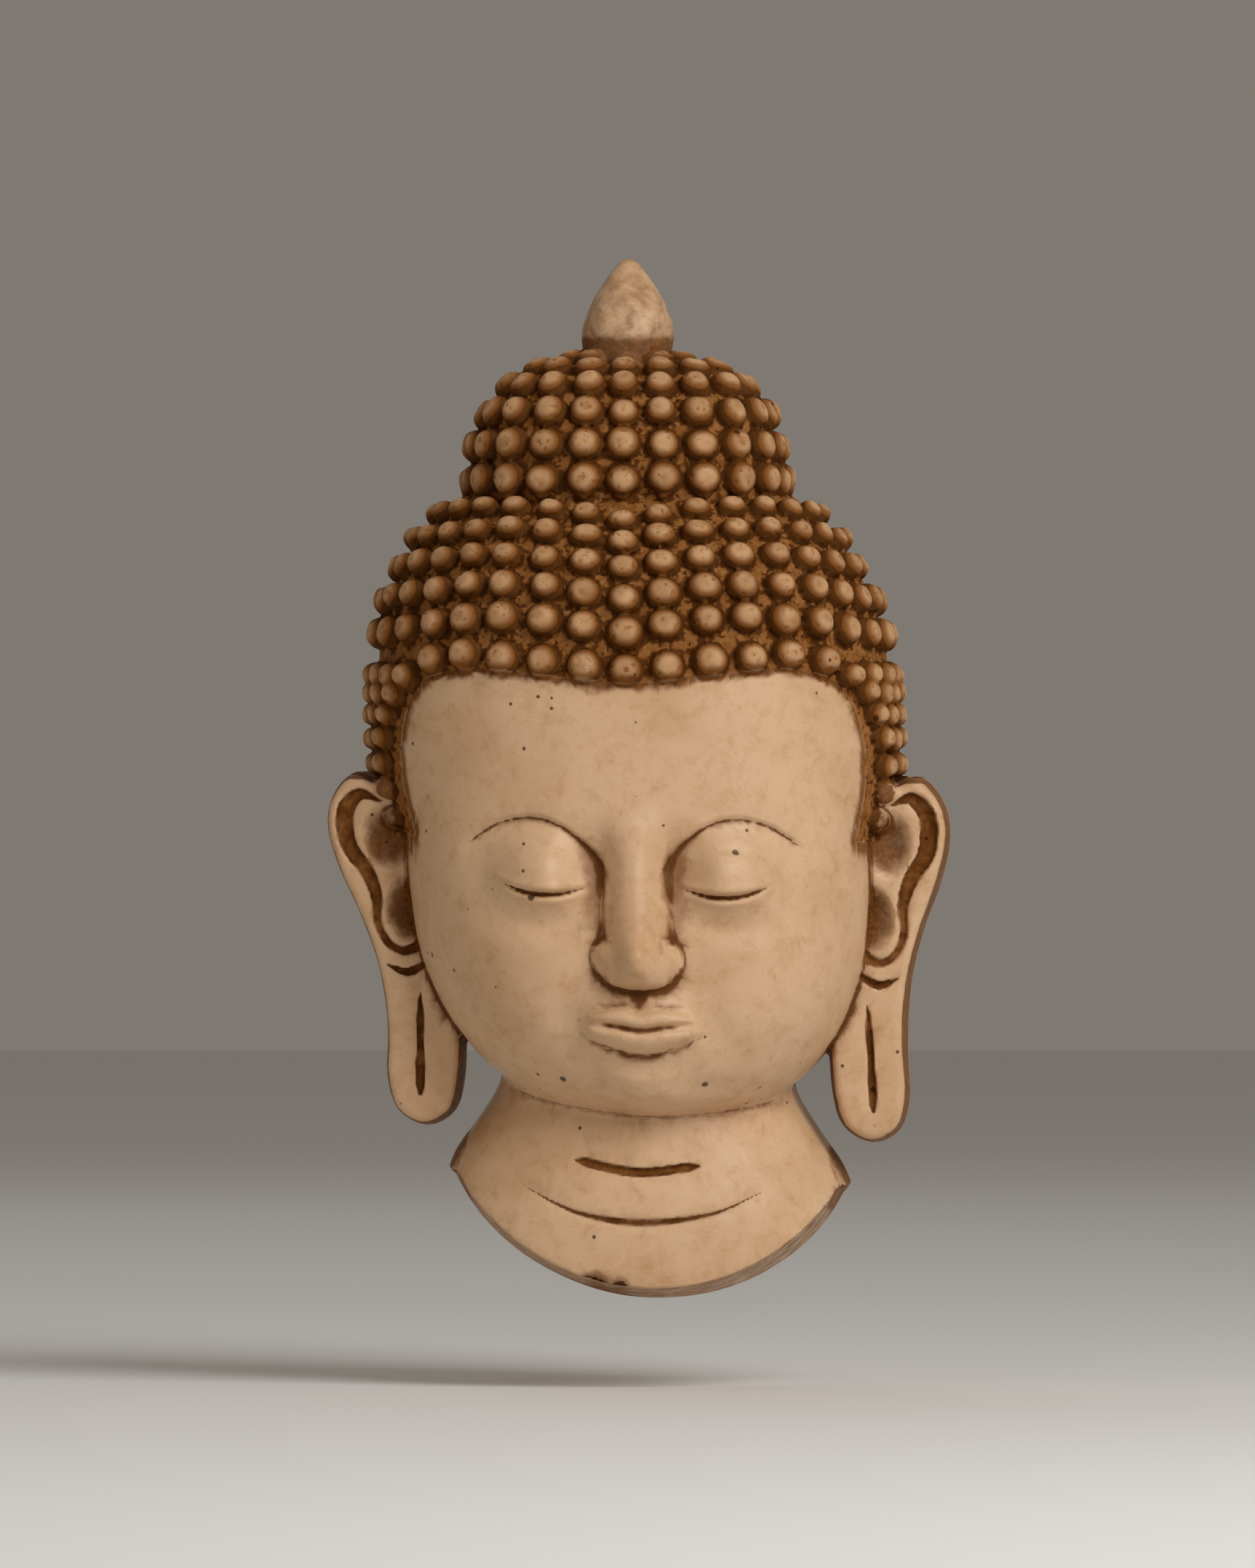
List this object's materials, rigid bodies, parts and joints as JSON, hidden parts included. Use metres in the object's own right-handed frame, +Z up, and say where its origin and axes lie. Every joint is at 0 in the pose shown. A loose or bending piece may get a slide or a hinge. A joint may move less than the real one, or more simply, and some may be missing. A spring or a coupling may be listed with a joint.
{
  "type": "wall mask",
  "caption": "Small cast resin wall hanging of a calm head with beaded curls, a bun with a finial, long ears and a flared neck, flat at the back.",
  "frame": {"origin": "on the flat back, behind the middle of the head, where the piece rests against the wall", "axes": "+Y into the wall along the normal of the flat back, the face looks along -Y, +Z up from neck to finial, +X to the viewer's right"},
  "size_m": [0.0871, 0.0412, 0.1452],
  "materials": {
    "aged_resin": "satin cream resin with brown patina in the recesses"
  },
  "bodies": {
    "root": {"mask": "aged_resin"}
  },
  "joints": []
}
